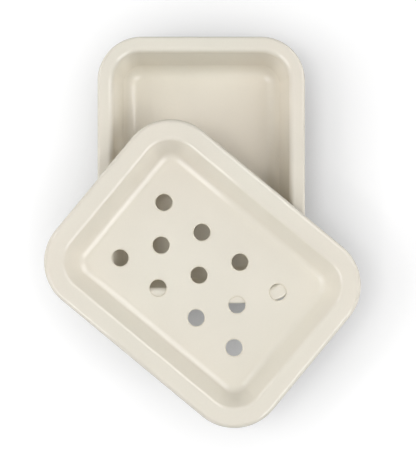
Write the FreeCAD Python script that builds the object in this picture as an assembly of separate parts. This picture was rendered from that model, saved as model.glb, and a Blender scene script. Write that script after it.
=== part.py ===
import FreeCAD
import Part

import math
import os

# An enamel soap dish in two pressed pieces, in millimetres.
# The deep tray stands on its flat base and catches the water.
# The pierced drainer drops into the tray and hangs there by its rim. Here it has been lifted out,
# and lies askew across the front of the tray, its floor on the tray's rim at the left, right and front.
# The origin is the centre of the tray's base. +Y runs along the tray to its back, and +Z is up.

# Both pieces are pressed from one gauge of steel sheet, its coat of enamel included.
# The radius of each bend is that of its inside.
sheet = 1.1

# The tray. Its rim runs from the lip in to the mouth, where the sheet starts to bend down.
tray_length = 144.0
tray_width = 112.0
tray_height = 30.0
tray_rim_width = 5.6
tray_lip_drop = 4.0
tray_lip_bend = 0.5
tray_shoulder_bend = 2.0
tray_wall_angle = 79.0
tray_floor_bend = 8.0
tray_floor_corner = 3.4

# The drainer. Its mouth is the tray's, less some play at each side and each end.
drainer_side_play = 1.2
drainer_end_play = 0.8
drainer_depth = 12.0
drainer_rim_width = 9.3
drainer_lip_drop = 4.5
drainer_lip_bend = 1.4
drainer_shoulder_bend = 1.4
drainer_wall_angle = 55.0
drainer_floor_bend = 5.7

# The drain holes stand in staggered rows. The margins are what is left of the drainer's flat floor
# between the outermost holes and its ends and sides, before the whole pattern is shifted and turned:
# it was pierced a little off the centre and out of square.
hole_diameter = 9.0
hole_edge_rounding = 0.45
hole_rows = 3
holes_in_outer_row = 4
hole_end_margin = 9.4
hole_side_margin = 13.0
hole_pattern_shift_across = -2.0
hole_pattern_shift_along = 0.8
hole_pattern_turn = 1.4

# How the drainer lies on the tray
drainer_turn = 50.4
drainer_centre_behind_tray_front = 16.4
drainer_centre_to_the_right = 0.7

UP = FreeCAD.Vector(0, 0, 1)


def side_run(depth, wall_angle, floor_bend, shoulder_bend):
    """How far the side of a well reaches in plan, from its mouth in to its flat floor."""
    lean = math.radians(wall_angle)
    bends = floor_bend + shoulder_bend + sheet
    wall_drop = depth - bends * (1 - math.cos(lean))
    return bends * math.sin(lean) + wall_drop / math.tan(lean)


tray_depth = tray_height - sheet
tray_run = side_run(tray_depth, tray_wall_angle, tray_floor_bend, tray_shoulder_bend)
tray_mouth_corner = tray_floor_corner + tray_run

drainer_run = side_run(
    drainer_depth, drainer_wall_angle, drainer_floor_bend, drainer_shoulder_bend
)
drainer_mouth_corner = tray_mouth_corner - min(drainer_side_play, drainer_end_play)
drainer_length = tray_length - 2 * (tray_rim_width + drainer_end_play - drainer_rim_width)
drainer_width = tray_width - 2 * (tray_rim_width + drainer_side_play - drainer_rim_width)


def arc(centre, radius, start_degrees, end_degrees):
    """An arc in the section's plane, from one direction about its centre to another."""
    points = []
    for degrees in (start_degrees, (start_degrees + end_degrees) / 2, end_degrees):
        turn = math.radians(degrees)
        points.append(centre + FreeCAD.Vector(math.cos(turn), 0, math.sin(turn)) * radius)
    return Part.Arc(*points)


def sheet_section(
    floor_corner, floor_bend, wall_angle, depth, shoulder_bend, rim_width, lip_bend, lip_drop
):
    """The sheet's section from a corner's axis, at x = 0, out to its lip, with the rim's top at z = 0."""
    mouth = floor_corner + side_run(depth, wall_angle, floor_bend, shoulder_bend)
    outer = mouth + rim_width
    floor_centre = FreeCAD.Vector(floor_corner, 0, floor_bend - depth)
    shoulder_centre = FreeCAD.Vector(mouth, 0, -shoulder_bend - sheet)
    lip_centre = FreeCAD.Vector(outer - lip_bend - sheet, 0, -lip_bend - sheet)
    edge_centre = FreeCAD.Vector(outer - sheet / 2, 0, sheet / 2 - lip_drop)

    # The bends in order: over the top from the floor to the lip's edge, then back underneath
    bends = [
        arc(floor_centre, floor_bend, -90, wall_angle - 90),
        arc(shoulder_centre, shoulder_bend + sheet, wall_angle + 90, 90),
        arc(lip_centre, lip_bend + sheet, 90, 0),
        arc(edge_centre, sheet / 2, 0, -180),
        arc(lip_centre, lip_bend, 0, 90),
        arc(shoulder_centre, shoulder_bend, 90, wall_angle + 90),
        arc(floor_centre, floor_bend + sheet, wall_angle - 90, -90),
    ]
    top_of_floor = FreeCAD.Vector(0, 0, -depth)
    under_floor = FreeCAD.Vector(0, 0, -depth - sheet)
    edges = [Part.LineSegment(under_floor, top_of_floor).toShape()]
    reached = top_of_floor
    for bend in bends:
        edges.append(Part.LineSegment(reached, bend.StartPoint).toShape())
        edges.append(bend.toShape())
        reached = bend.EndPoint
    edges.append(Part.LineSegment(reached, under_floor).toShape())
    return Part.Face(Part.Wire(edges))


def pressed_dish(section, outer_corner, length, width, floor_top):
    """A dish of one sheet, centred on x = y = 0, with its length along Y.

    The section is drawn straight along each side and turned about the axis of each corner.
    The flat floor between the corners' axes closes the middle.
    """
    half_x = width / 2 - outer_corner
    half_y = length / 2 - outer_corner
    corners = [(half_x, half_y), (-half_x, half_y), (-half_x, -half_y), (half_x, -half_y)]
    corner_of_floor = FreeCAD.Vector(-half_x, -half_y, floor_top - sheet)
    floor = Part.makeBox(2 * half_x, 2 * half_y, sheet, corner_of_floor)
    sides = []
    for quarter in range(4):
        axis = FreeCAD.Vector(*corners[quarter], 0)
        next_axis = FreeCAD.Vector(*corners[(quarter + 1) % 4], 0)
        placed = section.copy()
        placed.rotate(FreeCAD.Vector(), UP, 90 * quarter)
        placed.translate(axis)
        sides.append(placed.revolve(axis, UP, 90))
        placed.rotate(axis, UP, 90)
        sides.append(placed.extrude(next_axis - axis))
    return floor.multiFuse(sides).removeSplitter().Solids[0]


def tray():
    section = sheet_section(
        tray_floor_corner,
        tray_floor_bend,
        tray_wall_angle,
        tray_depth,
        tray_shoulder_bend,
        tray_rim_width,
        tray_lip_bend,
        tray_lip_drop,
    )
    outer_corner = tray_mouth_corner + tray_rim_width
    dish = pressed_dish(section, outer_corner, tray_length, tray_width, -tray_depth)
    dish.translate(UP * tray_height)
    return dish


def hole_centres():
    """The places of the drain holes on the drainer's floor. Every second row has one hole fewer."""
    floor_length = drainer_length - 2 * (drainer_rim_width + drainer_run)
    floor_width = drainer_width - 2 * (drainer_rim_width + drainer_run)
    row_length = floor_length - 2 * hole_end_margin - hole_diameter
    rows_width = floor_width - 2 * hole_side_margin - hole_diameter
    pitch = row_length / (holes_in_outer_row - 1)
    row_spacing = rows_width / (hole_rows - 1)

    shift = FreeCAD.Vector(hole_pattern_shift_across, hole_pattern_shift_along, 0)
    turn = FreeCAD.Rotation(UP, hole_pattern_turn)
    centres = []
    for row in range(hole_rows):
        across = row * row_spacing - rows_width / 2
        holes = holes_in_outer_row - row % 2
        for place in range(holes):
            along = (place - (holes - 1) / 2) * pitch
            centres.append(turn.multVec(FreeCAD.Vector(across, along, 0)) + shift)
    return centres


def drainer():
    section = sheet_section(
        drainer_mouth_corner - drainer_run,
        drainer_floor_bend,
        drainer_wall_angle,
        drainer_depth,
        drainer_shoulder_bend,
        drainer_rim_width,
        drainer_lip_bend,
        drainer_lip_drop,
    )
    outer_corner = drainer_mouth_corner + drainer_rim_width
    dish = pressed_dish(section, outer_corner, drainer_length, drainer_width, -drainer_depth)

    under_floor = UP * (-drainer_depth - sheet)
    punches = []
    for centre in hole_centres():
        punches.append(Part.makeCylinder(hole_diameter / 2, sheet, centre + under_floor))
    pierced = dish.cut(punches).Solids[0]

    # The enamel rounds the upper and the lower edge of each hole
    hole_edges = []
    for edge in pierced.Edges:
        curve = edge.Curve
        if isinstance(curve, Part.Circle) and abs(curve.Radius - hole_diameter / 2) < 1e-6:
            hole_edges.append(edge)
    pierced = pierced.makeFillet(hole_edge_rounding, hole_edges).Solids[0]

    pierced.rotate(FreeCAD.Vector(), UP, drainer_turn)
    pierced.translate(
        FreeCAD.Vector(
            drainer_centre_to_the_right,
            drainer_centre_behind_tray_front - tray_length / 2,
            tray_height + sheet + drainer_depth,
        )
    )
    return pierced


def main():
    os.makedirs("parts", exist_ok=True)
    for name, shape in (("tray", tray()), ("drainer", drainer())):
        shape.exportStep("parts/" + name + ".step")
        print(name, len(shape.Faces), "faces,", round(shape.Volume, 1), "mm3, valid:", shape.isValid())


main()
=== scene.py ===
import math

import bmesh
import bpy
from mathutils import Matrix, Vector


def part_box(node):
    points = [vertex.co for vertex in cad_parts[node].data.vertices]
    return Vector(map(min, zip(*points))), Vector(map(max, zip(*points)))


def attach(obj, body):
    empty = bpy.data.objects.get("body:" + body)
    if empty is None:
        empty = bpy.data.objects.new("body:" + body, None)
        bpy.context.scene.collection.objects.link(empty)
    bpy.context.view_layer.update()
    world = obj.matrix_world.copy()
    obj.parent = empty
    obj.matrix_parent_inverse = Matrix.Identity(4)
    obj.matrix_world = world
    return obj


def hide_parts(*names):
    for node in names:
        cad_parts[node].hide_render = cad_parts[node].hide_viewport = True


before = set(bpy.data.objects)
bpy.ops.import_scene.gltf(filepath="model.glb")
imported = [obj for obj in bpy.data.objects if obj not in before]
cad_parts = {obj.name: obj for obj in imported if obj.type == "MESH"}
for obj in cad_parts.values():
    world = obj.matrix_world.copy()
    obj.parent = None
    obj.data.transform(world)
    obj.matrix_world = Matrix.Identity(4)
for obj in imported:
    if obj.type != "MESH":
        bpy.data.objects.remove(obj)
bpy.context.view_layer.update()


# The cream enamel: a thick coat of glass with white pigment, fused to both faces of the steel.
# It is fired until it flows, so it is glossy and a little wavy, and it draws back thin at every edge.

enamel_cream = (0.780, 0.750, 0.651)
enamel_warm_cream = (0.794, 0.734, 0.635)
enamel_thin_cream = (0.715, 0.660, 0.548)
enamel_roughness = 0.06
enamel_ior = 1.52

# The scale of the noise behind each of the coat's patterns, and the height of its waves
warmth_scale = 9
warmth_seed = 4.2
cloud_scale = 38
grain_scale = 900
gloss_scale = 160
long_wave_scale = 45
long_wave_height = 0.00012
peel_scale = 420
peel_height = 0.000008


def enamel_coat():
    """The coat's own pattern, as a node group: its tone, its gloss and its waviness."""
    coat = bpy.data.node_groups.new("enamel_coat", "ShaderNodeTree")
    sides = (
        ("Cream", "INPUT", "NodeSocketColor"),
        ("Warm Cream", "INPUT", "NodeSocketColor"),
        ("Thin Cream", "INPUT", "NodeSocketColor"),
        ("Thin", "INPUT", "NodeSocketFloat"),
        ("Roughness", "INPUT", "NodeSocketFloat"),
        ("Color", "OUTPUT", "NodeSocketColor"),
        ("Roughness", "OUTPUT", "NodeSocketFloat"),
        ("Normal", "OUTPUT", "NodeSocketVector"),
    )
    for name, side, kind in sides:
        coat.interface.new_socket(name=name, in_out=side, socket_type=kind)
    add = coat.nodes.new
    link = coat.links.new
    given = add("NodeGroupInput")
    result = add("NodeGroupOutput")
    place = add("ShaderNodeTexCoord")

    def noise(scale, detail, seed=0):
        node = add("ShaderNodeTexNoise")
        node.noise_dimensions = "4D"
        node.inputs["W"].default_value = seed
        node.inputs["Scale"].default_value = scale
        node.inputs["Detail"].default_value = detail
        link(place.outputs["Object"], node.inputs["Vector"])
        return node.outputs["Fac"]

    def spread(value, low, high):
        """Spreads a noise, which seldom leaves the range from 0.3 to 0.7, from low to high."""
        node = add("ShaderNodeMapRange")
        node.inputs["From Min"].default_value = 0.3
        node.inputs["From Max"].default_value = 0.7
        node.inputs["To Min"].default_value = low
        node.inputs["To Max"].default_value = high
        link(value, node.inputs["Value"])
        return node.outputs["Result"]

    def multiply(first, second):
        node = add("ShaderNodeMath")
        node.operation = "MULTIPLY"
        link(first, node.inputs[0])
        link(second, node.inputs[1])
        return node.outputs["Value"]

    def blend(factor, first, second):
        node = add("ShaderNodeMix")
        node.data_type = "RGBA"
        link(factor, node.inputs["Factor"])
        link(first, node.inputs["A"])
        link(second, node.inputs["B"])
        return node.outputs["Result"]

    # The coat turns a little warmer in the kiln in some places than in others, it pools a little
    # thicker in some, and its pigment is never quite even
    warmth = spread(noise(warmth_scale, detail=1, seed=warmth_seed), low=0, high=1)
    cream = blend(warmth, given.outputs["Cream"], given.outputs["Warm Cream"])
    tone = blend(given.outputs["Thin"], cream, given.outputs["Thin Cream"])
    clouds = spread(noise(cloud_scale, detail=2), low=0.985, high=1.015)
    grain = spread(noise(grain_scale, detail=3), low=0.992, high=1.008)
    shaded = add("ShaderNodeVectorMath")
    shaded.operation = "SCALE"
    link(tone, shaded.inputs[0])
    link(multiply(clouds, grain), shaded.inputs["Scale"])
    link(shaded.outputs["Vector"], result.inputs["Color"])

    dullness = spread(noise(gloss_scale, detail=2), low=0.8, high=1.3)
    link(multiply(given.outputs["Roughness"], dullness), result.inputs["Roughness"])

    # Waves that the firing leaves: long shallow ones, and the fine ones of orange peel
    long_waves = add("ShaderNodeBump")
    long_waves.inputs["Distance"].default_value = long_wave_height
    link(noise(long_wave_scale, detail=1), long_waves.inputs["Height"])
    peel = add("ShaderNodeBump")
    peel.inputs["Distance"].default_value = peel_height
    link(noise(peel_scale, detail=2), peel.inputs["Height"])
    link(long_waves.outputs["Normal"], peel.inputs["Normal"])
    link(peel.outputs["Normal"], result.inputs["Normal"])
    return coat


def cream_enamel():
    material = bpy.data.materials.new("cream_enamel")
    material.use_nodes = True
    nodes = material.node_tree.nodes
    link = material.node_tree.links.new
    shader = nodes["Principled BSDF"]
    shader.inputs["IOR"].default_value = enamel_ior
    coat = nodes.new("ShaderNodeGroup")
    coat.node_tree = enamel_coat()
    coat.inputs["Cream"].default_value = (*enamel_cream, 1)
    coat.inputs["Warm Cream"].default_value = (*enamel_warm_cream, 1)
    coat.inputs["Thin Cream"].default_value = (*enamel_thin_cream, 1)
    coat.inputs["Roughness"].default_value = enamel_roughness
    thin = nodes.new("ShaderNodeAttribute")
    thin.attribute_name = "thin_enamel"
    link(thin.outputs["Fac"], coat.inputs["Thin"])
    link(coat.outputs["Color"], shader.inputs["Base Color"])
    link(coat.outputs["Roughness"], shader.inputs["Roughness"])
    link(coat.outputs["Normal"], shader.inputs["Normal"])
    return material


enamel = cream_enamel()


# The tray: a deep dish pressed from one sheet of steel, then enamelled all over.
# Its floor turns up through a wide bend into steep walls. They roll over a tight shoulder into
# a flat rim, whose edge is turned down.

sheet = 0.0011
tray_low, tray_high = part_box("tray")
tray_length = tray_high.y - tray_low.y
tray_width = tray_high.x - tray_low.x
tray_depth = tray_high.z - tray_low.z - sheet
tray_rim_width = 0.0056
tray_lip_drop = 0.0040
tray_lip_bend = 0.0005
tray_shoulder_bend = 0.0020
tray_wall_lean = math.radians(79)
tray_floor_bend = 0.0080
tray_floor_corner = 0.0034

flat_round_floor = 0.0015
edge_rounding = 0.00045
edge_rounding_segments = 5
sharp_edge = math.radians(60)
bend_steps = 12
lip_steps = 8
corner_steps = 32
side_steps = 6
merge_distance = 0.000001


def wall_drop(depth, floor_bend, wall_lean, shoulder_bend):
    """How far the straight part of a well's wall drops, between its two bends."""
    return depth - (floor_bend + shoulder_bend + sheet) * (1 - math.cos(wall_lean))


def side_run(depth, floor_bend, wall_lean, shoulder_bend):
    """How far the side of a well reaches in plan, from its mouth in to its flat floor."""
    bends_run = (floor_bend + shoulder_bend + sheet) * math.sin(wall_lean)
    return bends_run + wall_drop(depth, floor_bend, wall_lean, shoulder_bend) / math.tan(wall_lean)


def draw_straight(dish, tip, heading, length):
    """Draws the sheet's section on from its tip by a straight run, and returns the new tip."""
    tip = bmesh.ops.extrude_vert_indiv(dish, verts=[tip])["verts"][0]
    tip.co += Vector((math.cos(heading), 0, math.sin(heading))) * length
    return tip


def draw_bend(dish, tip, heading, radius, turn, steps):
    """Draws the section on round a bend, upwards where turn is positive, and returns the new tip."""
    aside = heading + math.copysign(math.pi / 2, turn)
    centre = tip.co + Vector((math.cos(aside), 0, math.sin(aside))) * radius
    bend = bmesh.ops.spin(
        dish, geom=[tip], cent=centre, axis=(0, -1, 0), angle=turn, steps=steps
    )
    return bend["geom_last"][0]


def press_dish(
    length, width, depth, floor_corner, floor_bend, wall_lean, shoulder_bend, rim_width, lip_bend, lip_drop
):
    """The upper face of a dish with its rim's top at z = 0, open where the middle of its floor goes."""
    dish = bmesh.new()
    wall = wall_drop(depth, floor_bend, wall_lean, shoulder_bend) / math.sin(wall_lean)
    lip_radius = lip_bend + sheet

    # The section, from the floor out to the lip's edge
    tip = dish.verts.new((floor_corner - flat_round_floor, 0, -depth))
    tip = draw_straight(dish, tip, 0, flat_round_floor)
    tip = draw_bend(dish, tip, 0, floor_bend, wall_lean, bend_steps)
    tip = draw_straight(dish, tip, wall_lean, wall)
    tip = draw_bend(dish, tip, wall_lean, shoulder_bend + sheet, -wall_lean, bend_steps)
    tip = draw_straight(dish, tip, 0, rim_width - lip_radius)
    tip = draw_bend(dish, tip, 0, lip_radius, -math.pi / 2, lip_steps)
    tip = draw_straight(dish, tip, -math.pi / 2, lip_drop - lip_radius)
    outer_corner = tip.co.x
    section = dish.edges[:]

    # One quarter: the section turned round its corner, and drawn on along half of each side
    turned = bmesh.ops.spin(
        dish, geom=section, cent=(0, 0, 0), axis=(0, 0, 1), angle=math.pi / 2, steps=corner_steps
    )
    far_section = [part for part in turned["geom_last"] if isinstance(part, bmesh.types.BMEdge)]
    half_x = width / 2 - outer_corner
    half_y = length / 2 - outer_corner
    bmesh.ops.translate(dish, verts=dish.verts[:], vec=(half_x, half_y, 0))
    for edges, along in ((section, Vector((0, -half_y, 0))), (far_section, Vector((-half_x, 0, 0)))):
        bmesh.ops.spin(
            dish, geom=edges, cent=(0, 0, 0), axis=(0, 0, 1), dvec=along / side_steps, steps=side_steps
        )

    for axis in ("X", "Y"):
        whole = dish.verts[:] + dish.edges[:] + dish.faces[:]
        bmesh.ops.mirror(dish, geom=whole, merge_dist=merge_distance, axis=axis)
    bmesh.ops.remove_doubles(dish, verts=dish.verts[:], dist=merge_distance)
    return dish


def mark_thin_edges(dish):
    """Marks the sheet's open edges with 1. The enamel draws back from them and stays thin."""
    thin = dish.verts.layers.float.new("thin_enamel")
    for edge in dish.edges:
        if edge.is_boundary:
            for end in edge.verts:
                end[thin] = 1


def floor_opening(dish, floor_height):
    """The edges round the opening in the dish's floor."""
    found = []
    for edge in dish.edges:
        if edge.is_boundary and all(abs(end.co.z - floor_height) < merge_distance for end in edge.verts):
            found.append(edge)
    return found


def lay_floor(dish, edges):
    """Closes the floor between the edges given, and turns every face of the dish the same way."""
    bmesh.ops.triangle_fill(dish, edges=edges, use_beauty=True, use_dissolve=False, normal=(0, 0, 1))
    bmesh.ops.recalc_face_normals(dish, faces=dish.faces[:])
    for face in dish.faces:
        face.smooth = True


def finish_dish(dish, name):
    """Makes the dish an object with its sheet's thickness, its edges rounded by the enamel."""
    mesh = bpy.data.meshes.new(name)
    dish.to_mesh(mesh)
    dish.free()
    piece = bpy.data.objects.new(name, mesh)
    bpy.context.scene.collection.objects.link(piece)
    mesh.materials.append(enamel)
    thickness = piece.modifiers.new("sheet", "SOLIDIFY")
    thickness.thickness = sheet
    thickness.offset = -1
    thickness.use_even_offset = True
    rounding = piece.modifiers.new("rounding", "BEVEL")
    rounding.limit_method = "ANGLE"
    rounding.angle_limit = sharp_edge
    rounding.width = edge_rounding
    rounding.segments = edge_rounding_segments
    piece.modifiers.new("shading", "WEIGHTED_NORMAL")
    return piece


tray_dish = press_dish(
    tray_length,
    tray_width,
    tray_depth,
    tray_floor_corner,
    tray_floor_bend,
    tray_wall_lean,
    tray_shoulder_bend,
    tray_rim_width,
    tray_lip_bend,
    tray_lip_drop,
)
lay_floor(tray_dish, floor_opening(tray_dish, -tray_depth))
mark_thin_edges(tray_dish)
bmesh.ops.translate(tray_dish, verts=tray_dish.verts[:], vec=(0, 0, tray_high.z))
tray = finish_dish(tray_dish, "tray_enamelled")
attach(tray, "root")
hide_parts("tray")


# The drainer: a shallow dish of the same sheet and enamel, with eleven holes punched in its floor
# before it was enamelled. Its mouth is the tray's less some play, so that it can hang in the tray.
# Here it has been lifted out and lies askew on the tray's rim.

drainer_side_play = 0.0012
drainer_end_play = 0.0008
drainer_depth = 0.0120
drainer_rim_width = 0.0093
drainer_lip_drop = 0.0045
drainer_lip_bend = 0.0014
drainer_shoulder_bend = 0.0014
drainer_wall_lean = math.radians(55)
drainer_floor_bend = 0.0057
drainer_turn = math.radians(50.4)

hole_diameter = 0.0090
hole_rows = 3
holes_in_outer_row = 4
hole_end_margin = 0.0094
hole_side_margin = 0.0130
hole_pattern_shift = Vector((-0.0020, 0.0008, 0))
hole_pattern_turn = math.radians(1.4)
hole_segments = 48
flat_round_hole = 0.0010

tray_run = side_run(tray_depth, tray_floor_bend, tray_wall_lean, tray_shoulder_bend)
drainer_run = side_run(drainer_depth, drainer_floor_bend, drainer_wall_lean, drainer_shoulder_bend)
drainer_floor_corner = tray_floor_corner + tray_run - min(drainer_side_play, drainer_end_play) - drainer_run
drainer_length = tray_length - 2 * (tray_rim_width + drainer_end_play - drainer_rim_width)
drainer_width = tray_width - 2 * (tray_rim_width + drainer_side_play - drainer_rim_width)


def hole_centres():
    """The middles of the drain holes, in staggered rows. Every second row has one hole fewer."""
    rim_and_side = drainer_rim_width + drainer_run
    row_length = drainer_length - 2 * (rim_and_side + hole_end_margin) - hole_diameter
    rows_width = drainer_width - 2 * (rim_and_side + hole_side_margin) - hole_diameter
    pitch = row_length / (holes_in_outer_row - 1)
    row_spacing = rows_width / (hole_rows - 1)
    centres = []
    for row in range(hole_rows):
        across = row * row_spacing - rows_width / 2
        holes = holes_in_outer_row - row % 2
        for place in range(holes):
            along = (place - (holes - 1) / 2) * pitch
            centre = Vector((across, along, -drainer_depth))
            centres.append(Matrix.Rotation(hole_pattern_turn, 3, "Z") @ centre + hole_pattern_shift)
    return centres


def punch_hole(dish, centre):
    """Adds a hole's edge with a ring of flat sheet round it, and returns the ring's outer edges."""
    place = Matrix.Translation(centre)
    edge = bmesh.ops.create_circle(
        dish, cap_ends=False, radius=hole_diameter / 2, segments=hole_segments, matrix=place
    )
    round_edge = list({side for corner in edge["verts"] for side in corner.link_edges})
    ring = bmesh.ops.extrude_edge_only(dish, edges=round_edge)["geom"]
    ring_corners = [part for part in ring if isinstance(part, bmesh.types.BMVert)]
    growth = 1 + flat_round_hole / (hole_diameter / 2)
    bmesh.ops.scale(dish, vec=(growth, growth, 1), space=place.inverted(), verts=ring_corners)
    outside = set(ring_corners)
    return [
        part for part in ring if isinstance(part, bmesh.types.BMEdge) and outside.issuperset(part.verts)
    ]


drainer_dish = press_dish(
    drainer_length,
    drainer_width,
    drainer_depth,
    drainer_floor_corner,
    drainer_floor_bend,
    drainer_wall_lean,
    drainer_shoulder_bend,
    drainer_rim_width,
    drainer_lip_bend,
    drainer_lip_drop,
)
drainer_floor_edges = floor_opening(drainer_dish, -drainer_depth)
for centre in hole_centres():
    drainer_floor_edges += punch_hole(drainer_dish, centre)
lay_floor(drainer_dish, drainer_floor_edges)
mark_thin_edges(drainer_dish)
drainer_low, drainer_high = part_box("drainer")
drainer_middle = (drainer_low + drainer_high) / 2
drainer_middle.z = drainer_high.z
lie = Matrix.Translation(drainer_middle) @ Matrix.Rotation(drainer_turn, 4, "Z")
bmesh.ops.transform(drainer_dish, matrix=lie, verts=drainer_dish.verts[:])
drainer = finish_dish(drainer_dish, "drainer_enamelled")
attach(drainer, "root")
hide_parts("drainer")


# The floor under the dish: plain white paper, which runs far past the picture, just below the base.
# It is a mid grey that takes the dish's shadow, and a glow of its own makes the open paper white.
# The glow is there only where the paper is seen, and fades near the dish: a painted shadow round the dish.

floor_size = 4.0
floor_grey = 0.45
floor_glow = 0.82
# How far from the dish the painted shadow in the paper's glow reaches
shade_reach = 0.06
floor_gap = 0.0001


def seen_directly(nodes, link):
    """1 for rays from the camera and for those that gloss or glass sends on, and 0 for all others."""
    rays = nodes.new("ShaderNodeLightPath")
    seen = rays.outputs["Is Camera Ray"]
    for kind in ("Is Glossy Ray", "Is Transmission Ray"):
        either = nodes.new("ShaderNodeMath")
        either.operation = "ADD"
        link(seen, either.inputs[0])
        link(rays.outputs[kind], either.inputs[1])
        seen = either.outputs["Value"]
    return seen


def strength_where_seen(nodes, link, where_seen, elsewhere):
    """One strength of light where the surface is seen directly, and another for what it sheds."""
    strength = nodes.new("ShaderNodeMath")
    strength.operation = "MULTIPLY_ADD"
    link(seen_directly(nodes, link), strength.inputs[0])
    strength.inputs[1].default_value = where_seen - elsewhere
    strength.inputs[2].default_value = elsewhere
    return strength.outputs["Value"]


def white_paper():
    material = bpy.data.materials.new("white_paper")
    material.use_nodes = True
    nodes = material.node_tree.nodes
    link = material.node_tree.links.new
    shader = nodes["Principled BSDF"]
    shader.inputs["Base Color"].default_value = (floor_grey, floor_grey, floor_grey, 1)
    shader.inputs["Roughness"].default_value = 1
    shader.inputs["Specular IOR Level"].default_value = 0
    shader.inputs["Emission Color"].default_value = (1, 1, 1, 1)
    # Painted shadow: the glow dims where the dish hides the paper, so the paper darkens round the dish
    painted_shadow_ao = nodes.new("ShaderNodeAmbientOcclusion")
    painted_shadow_ao.inputs["Distance"].default_value = shade_reach
    glow = nodes.new("ShaderNodeMath")
    glow.operation = "MULTIPLY"
    link(strength_where_seen(nodes, link, floor_glow, 0), glow.inputs[0])
    link(painted_shadow_ao.outputs["AO"], glow.inputs[1])
    link(glow.outputs["Value"], shader.inputs["Emission Strength"])
    return material


paper = bmesh.new()
below_base = Matrix.Translation((0, 0, -floor_gap))
bmesh.ops.create_grid(paper, x_segments=1, y_segments=1, size=floor_size / 2, matrix=below_base)
paper_mesh = bpy.data.meshes.new("floor")
paper.to_mesh(paper_mesh)
paper.free()
paper_mesh.materials.append(white_paper())
floor = bpy.data.objects.new("floor", paper_mesh)
bpy.context.scene.collection.objects.link(floor)


# The camera looks straight down. Its long side is the picture's height of 476 pixels.
# It stands over a point a little right of the tray's middle and well in front of it.

camera_height = 0.750
camera_place = Vector((0.003637, -0.03669, camera_height))
picture_height_at_rim = 0.25647
sensor_millimetres = 36
camera_data = bpy.data.cameras.new("camera")
camera_data.sensor_width = sensor_millimetres
camera_data.lens = sensor_millimetres * (camera_height - tray_high.z) / picture_height_at_rim
camera = bpy.data.objects.new("camera", camera_data)
camera.location = camera_place
bpy.context.scene.collection.objects.link(camera)
bpy.context.scene.camera = camera


# The light: soft boxes, most of them at the left and the right, in a white room that sheds hardly any
# light itself. Those at the right and the back light the dish alone, so its shadow falls to the right.
# No soft box shows in the gloss. Four upright strips show only there, as thin lines on the bends.

bpy.context.scene.view_settings.view_transform = "Standard"
room_seen = 1.0
room_light = 0.13
room = bpy.data.worlds.new("room")
room.use_nodes = True
room_nodes = room.node_tree.nodes
room_link = room.node_tree.links.new
room_nodes["Background"].inputs["Color"].default_value = (1, 1, 1, 1)
room_link(
    strength_where_seen(room_nodes, room_link, room_seen, room_light),
    room_nodes["Background"].inputs["Strength"],
)
bpy.context.scene.world = room

lamp_aim = Vector((0, -0.03, 0.03))
soft_box_distance = 1.2
strip_distance = 0.7

# The watts that a square metre of lamp takes for a radiance of 1
lamp_power = 4


def direction(azimuth, from_vertical):
    """The way to a lamp, from two angles in degrees. The azimuth is 0 at the right, 90 at the back."""
    turn = math.radians(azimuth)
    tilt = math.radians(from_vertical)
    return Vector((math.cos(turn) * math.sin(tilt), math.sin(turn) * math.sin(tilt), math.cos(tilt)))


def hang_lamp(name, place, towards, width, height, radiance):
    """A rectangular lamp at its place in the direction given, which shines back the other way."""
    data = bpy.data.lights.new(name, "AREA")
    data.shape = "RECTANGLE"
    data.size = width
    data.size_y = height
    data.energy = radiance * lamp_power * width * height
    lamp = bpy.data.objects.new(name, data)
    lamp.location = place
    lamp.rotation_mode = "QUATERNION"
    lamp.rotation_quaternion = towards.to_track_quat("Z", "Y")
    bpy.context.scene.collection.objects.link(lamp)
    return lamp


dish_alone = bpy.data.collections.new("dish_alone")
dish_alone.objects.link(tray)
dish_alone.objects.link(drainer)

for name, azimuth, from_vertical, width, height, radiance, lights_paper in (
    ("soft_box_above_left", 180, 15, 0.35, 0.35, 6.80, True),
    ("soft_box_left", 183, 46, 0.80, 0.60, 2.20, True),
    ("soft_box_low_left", 180, 76, 0.40, 0.40, 5.50, True),
    ("soft_box_above_right", -12, 27, 0.40, 0.40, 3.15, False),
    ("soft_box_right", -18, 42, 0.60, 0.60, 2.50, False),
    ("soft_box_low_right", 0, 74, 0.50, 0.40, 5.00, False),
    ("soft_box_back", 90, 62, 0.60, 0.50, 0.65, False),
):
    towards = direction(azimuth, from_vertical)
    place = lamp_aim + towards * soft_box_distance
    soft_box = hang_lamp(name, place, towards, width, height, radiance)
    soft_box.visible_glossy = False
    if not lights_paper:
        soft_box.light_linking.receiver_collection = dish_alone

for name, azimuth, width, bottom, top, radiance in (
    ("strip_back_right", 34.5, 0.58, 0.31, 2.2, 2.3),
    ("strip_front_right", -49, 0.42, 0.40, 2.0, 3.0),
    ("strip_front_left", -146, 0.43, 0.45, 2.6, 2.8),
    ("strip_back_left", 157, 0.15, 0.32, 1.7, 2.0),
):
    towards = direction(azimuth, from_vertical=90)
    place = towards * strip_distance + Vector((0, 0, (bottom + top) / 2))
    strip = hang_lamp(name, place, towards, width, top - bottom, radiance)
    strip.visible_diffuse = False
